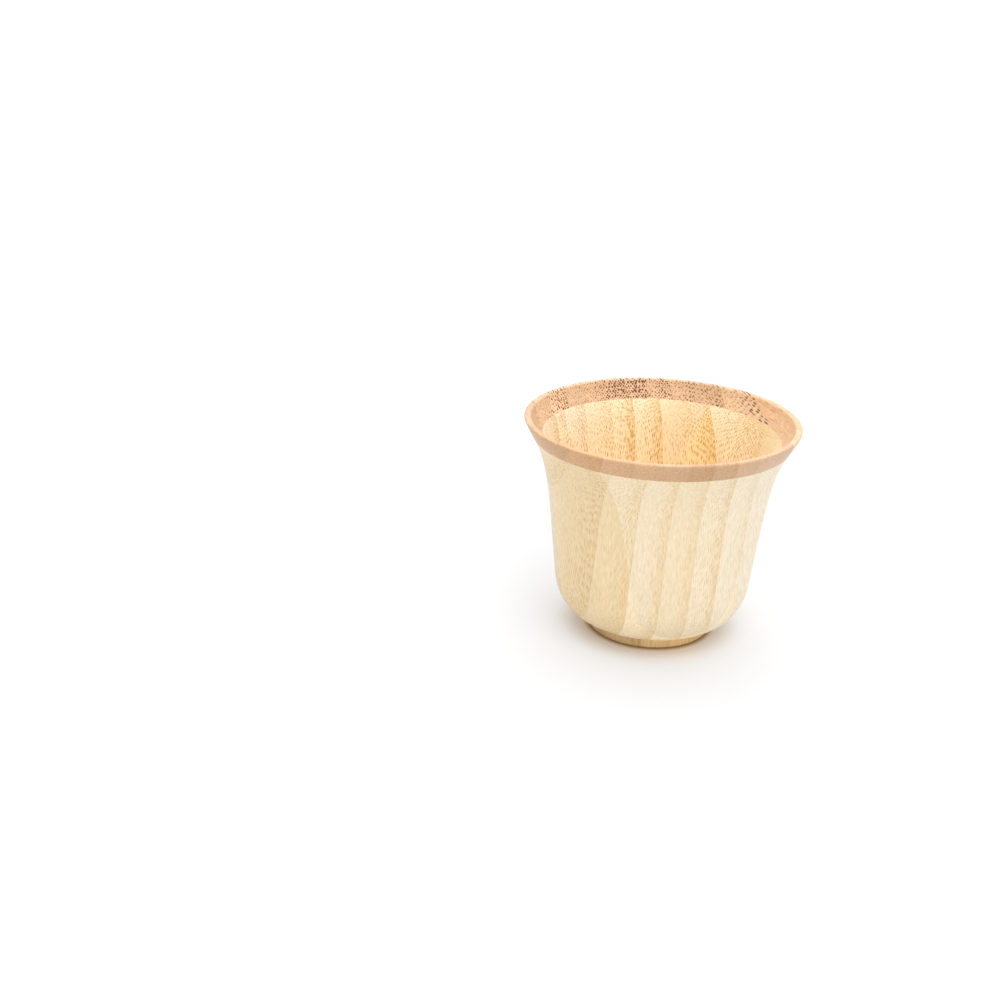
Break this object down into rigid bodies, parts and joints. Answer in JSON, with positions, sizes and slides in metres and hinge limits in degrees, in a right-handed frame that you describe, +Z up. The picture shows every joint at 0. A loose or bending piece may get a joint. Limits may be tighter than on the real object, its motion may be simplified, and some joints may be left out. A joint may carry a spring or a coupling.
{
  "type": "bamboo cup",
  "caption": "Small bell-shaped tea cup turned from laminated pale bamboo strips on a low foot, with a flared lip ring of darker steamed bamboo.",
  "frame": {"origin": "centre of the lower face of the foot, on the surface that the cup stands on", "axes": "+Z up along the axis of the cup, -Y towards the front as pictured, +X to the viewer's right"},
  "size_m": [0.065, 0.065, 0.0532],
  "materials": {
    "pale_bamboo": "satin clear lacquer over natural laminated bamboo, pores showing as dots and dashes",
    "steamed_bamboo": "satin clear lacquer over steamed, caramel-coloured laminated bamboo, dark pores"
  },
  "bodies": {
    "root": {"front_strip_left_1": "pale_bamboo", "front_strip_left_2": "pale_bamboo", "front_strip_left_3": "pale_bamboo", "front_strip_left_4": "pale_bamboo", "front_strip_right_1": "pale_bamboo", "front_strip_right_2": "pale_bamboo", "front_strip_right_3": "pale_bamboo", "front_strip_right_4": "pale_bamboo", "inner_front_strip_left_1": "pale_bamboo", "inner_front_strip_left_2": "pale_bamboo", "inner_front_strip_left_3": "pale_bamboo", "inner_front_strip_left_4": "pale_bamboo", "inner_front_strip_left_5": "pale_bamboo", "inner_front_strip_right_1": "pale_bamboo", "inner_front_strip_right_2": "pale_bamboo", "inner_front_strip_right_3": "pale_bamboo", "inner_front_strip_right_4": "pale_bamboo", "inner_front_strip_right_5": "pale_bamboo", "inner_back_strip_left_1": "pale_bamboo", "inner_back_strip_left_2": "pale_bamboo", "inner_back_strip_left_3": "pale_bamboo", "inner_back_strip_left_4": "pale_bamboo", "inner_back_strip_left_5": "pale_bamboo", "inner_back_strip_right_1": "pale_bamboo", "inner_back_strip_right_2": "pale_bamboo", "inner_back_strip_right_3": "pale_bamboo", "inner_back_strip_right_4": "pale_bamboo", "inner_back_strip_right_5": "pale_bamboo", "back_strip_middle": "pale_bamboo", "back_strip_left_1": "pale_bamboo", "back_strip_left_2": "pale_bamboo", "back_strip_left_3": "pale_bamboo", "back_strip_right_1": "pale_bamboo", "back_strip_right_2": "pale_bamboo", "back_strip_right_3": "pale_bamboo", "rim_front_strip_left_1": "steamed_bamboo", "rim_front_strip_left_2": "steamed_bamboo", "rim_front_strip_left_3": "steamed_bamboo", "rim_front_strip_left_4": "steamed_bamboo", "rim_front_strip_left_5": "steamed_bamboo", "rim_front_strip_left_6": "steamed_bamboo", "rim_front_strip_right_1": "steamed_bamboo", "rim_front_strip_right_2": "steamed_bamboo", "rim_front_strip_right_3": "steamed_bamboo", "rim_front_strip_right_4": "steamed_bamboo", "rim_front_strip_right_5": "steamed_bamboo", "rim_front_strip_right_6": "steamed_bamboo", "rim_back_strip_middle": "steamed_bamboo", "rim_back_strip_left_1": "steamed_bamboo", "rim_back_strip_left_2": "steamed_bamboo", "rim_back_strip_left_3": "steamed_bamboo", "rim_back_strip_left_4": "steamed_bamboo", "rim_back_strip_left_5": "steamed_bamboo", "rim_back_strip_right_1": "steamed_bamboo", "rim_back_strip_right_2": "steamed_bamboo", "rim_back_strip_right_3": "steamed_bamboo", "rim_back_strip_right_4": "steamed_bamboo", "rim_back_strip_right_5": "steamed_bamboo", "rim_back_strip_right_6": "steamed_bamboo"}
  },
  "joints": []
}
